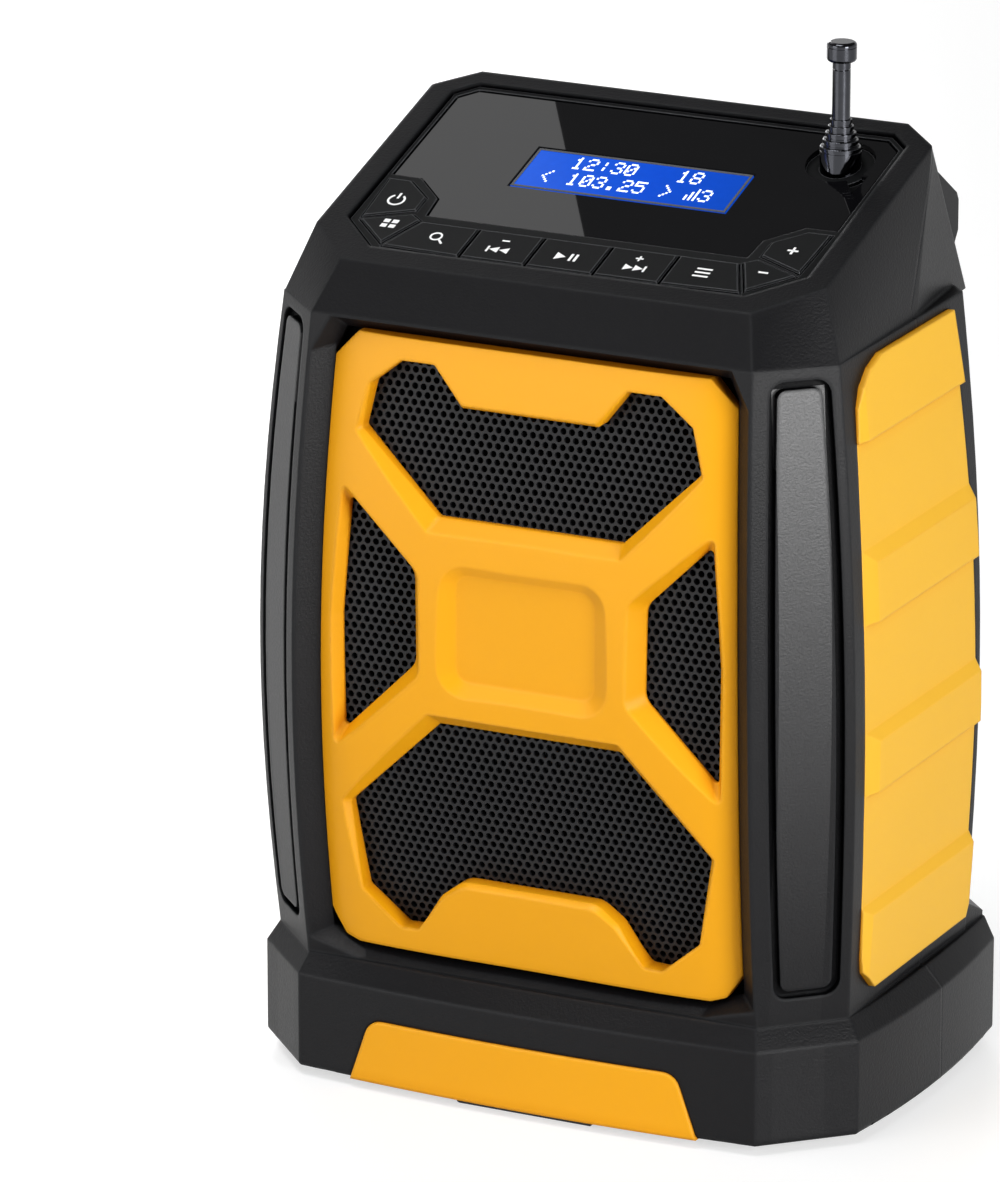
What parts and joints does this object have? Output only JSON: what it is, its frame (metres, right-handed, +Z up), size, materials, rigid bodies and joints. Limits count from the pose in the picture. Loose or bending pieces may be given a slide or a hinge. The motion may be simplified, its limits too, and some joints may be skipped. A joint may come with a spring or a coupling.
{
  "type": "jobsite radio",
  "caption": "Rugged table radio: black barrel housing with yellow grille frame and side panels, sloping key deck with lit display, telescopic aerial and rear grip.",
  "frame": {"origin": "centre of the footprint, on the plane the feet stand on", "axes": "+X to the radio's right as seen from the front, -Y out of the front grille, +Z up"},
  "size_m": [0.145, 0.1093, 0.2236],
  "materials": {
    "black_plastic": "fine-grain satin",
    "yellow_plastic": "smooth satin",
    "grille_steel": "satin black, perforated",
    "gloss_black": "high gloss",
    "lcd_blue": "lit blue display",
    "white_plastic": "matt",
    "silicone": "matt",
    "circuit_board": "solder resist",
    "chip_black": "matt",
    "chrome_tube": "polished",
    "speaker_steel": "plated",
    "cone_paper": "pressed paper",
    "foot_rubber": "matt",
    "ferrite": "matt",
    "cell_wrap": "printed film",
    "key_plastic": "satin",
    "screw_steel": "zinc, black"
  },
  "bodies": {
    "housing": {"front_housing": "black_plastic", "rear_housing": "black_plastic", "rear_handle": "black_plastic", "base_plate": "black_plastic", "front_panel": "yellow_plastic", "side_panel_left": "yellow_plastic", "side_panel_right": "yellow_plastic", "lower_trim": "yellow_plastic", "grille_plate": "grille_steel", "top_panel": "black_plastic", "display_lens": "gloss_black", "lcd_glass": "lcd_blue", "lcd_module": "white_plastic", "key_pad": "silicone", "key_board": "circuit_board", "main_board": "circuit_board", "jack_board": "circuit_board", "board_parts": "chip_black", "antenna_tube": "chrome_tube", "antenna_socket": "black_plastic", "speaker_frame": "speaker_steel", "speaker_cone": "cone_paper", "speaker_surround": "foot_rubber", "speaker_cap": "cone_paper", "speaker_magnet": "ferrite", "battery_tray": "chip_black", "battery_cells": "cell_wrap", "battery_contacts": "speaker_steel", "aux_socket": "chip_black", "dc_socket": "chip_black", "front_foot": "foot_rubber", "rear_feet": "foot_rubber", "housing_screws": "screw_steel", "base_screws": "screw_steel"},
    "key_power": {"key_power": "key_plastic"},
    "key_mode": {"key_mode": "key_plastic"},
    "key_scan": {"key_scan": "key_plastic"},
    "key_previous": {"key_previous": "key_plastic"},
    "key_select": {"key_select": "key_plastic"},
    "key_next": {"key_next": "key_plastic"},
    "key_menu": {"key_menu": "key_plastic"},
    "key_volume_down": {"key_volume_down": "key_plastic"},
    "key_volume_up": {"key_volume_up": "key_plastic"},
    "antenna_stage_2": {"antenna_section_2": "chrome_tube"},
    "antenna_stage_3": {"antenna_section_3": "chrome_tube"},
    "antenna_stage_4": {"antenna_section_4": "chrome_tube"},
    "antenna_stage_5": {"antenna_section_5": "chrome_tube"},
    "antenna_stage_6": {"antenna_rod": "chrome_tube", "antenna_tip": "chrome_tube"},
    "battery_door": {"battery_door": "black_plastic"},
    "port_cover": {"port_cover": "foot_rubber"}
  },
  "joints": [
    {"name": "key_power_press", "type": "slide", "parent": "housing", "child": "key_power", "axis": [0, 0.3134, -0.9496], "range_m": [0, 0.0008], "stiffness_N_per_m": 1500},
    {"name": "key_mode_press", "type": "slide", "parent": "housing", "child": "key_mode", "axis": [0, 0.3134, -0.9496], "range_m": [0, 0.0008], "stiffness_N_per_m": 1500},
    {"name": "key_scan_press", "type": "slide", "parent": "housing", "child": "key_scan", "axis": [0, 0.3134, -0.9496], "range_m": [0, 0.0008], "stiffness_N_per_m": 1500},
    {"name": "key_previous_press", "type": "slide", "parent": "housing", "child": "key_previous", "axis": [0, 0.3134, -0.9496], "range_m": [0, 0.0008], "stiffness_N_per_m": 1500},
    {"name": "key_select_press", "type": "slide", "parent": "housing", "child": "key_select", "axis": [0, 0.3134, -0.9496], "range_m": [0, 0.0008], "stiffness_N_per_m": 1500},
    {"name": "key_next_press", "type": "slide", "parent": "housing", "child": "key_next", "axis": [0, 0.3134, -0.9496], "range_m": [0, 0.0008], "stiffness_N_per_m": 1500},
    {"name": "key_menu_press", "type": "slide", "parent": "housing", "child": "key_menu", "axis": [0, 0.3134, -0.9496], "range_m": [0, 0.0008], "stiffness_N_per_m": 1500},
    {"name": "key_volume_down_press", "type": "slide", "parent": "housing", "child": "key_volume_down", "axis": [0, 0.3134, -0.9496], "range_m": [0, 0.0008], "stiffness_N_per_m": 1500},
    {"name": "key_volume_up_press", "type": "slide", "parent": "housing", "child": "key_volume_up", "axis": [0, 0.3134, -0.9496], "range_m": [0, 0.0008], "stiffness_N_per_m": 1500},
    {"name": "antenna_stage_2_pull", "type": "slide", "parent": "housing", "child": "antenna_stage_2", "axis": [0, 0, 1], "range_m": [0, 0.075]},
    {"name": "antenna_stage_3_pull", "type": "slide", "parent": "antenna_stage_2", "child": "antenna_stage_3", "axis": [0, 0, 1], "range_m": [0, 0.075]},
    {"name": "antenna_stage_4_pull", "type": "slide", "parent": "antenna_stage_3", "child": "antenna_stage_4", "axis": [0, 0, 1], "range_m": [0, 0.075]},
    {"name": "antenna_stage_5_pull", "type": "slide", "parent": "antenna_stage_4", "child": "antenna_stage_5", "axis": [0, 0, 1], "range_m": [0, 0.075]},
    {"name": "antenna_stage_6_pull", "type": "slide", "parent": "antenna_stage_5", "child": "antenna_stage_6", "axis": [0, 0, 1], "range_m": [-0.0121, 0.064]},
    {"name": "battery_door_lift", "type": "slide", "parent": "housing", "child": "battery_door", "axis": [0, 1, 0], "range_m": [0, 0.04]},
    {"name": "port_cover_hinge", "type": "hinge", "parent": "housing", "child": "port_cover", "pos_m": [-0.033, 0.05, 0.116], "axis": [0, 0, 1], "range_deg": [0, 110]}
  ]
}
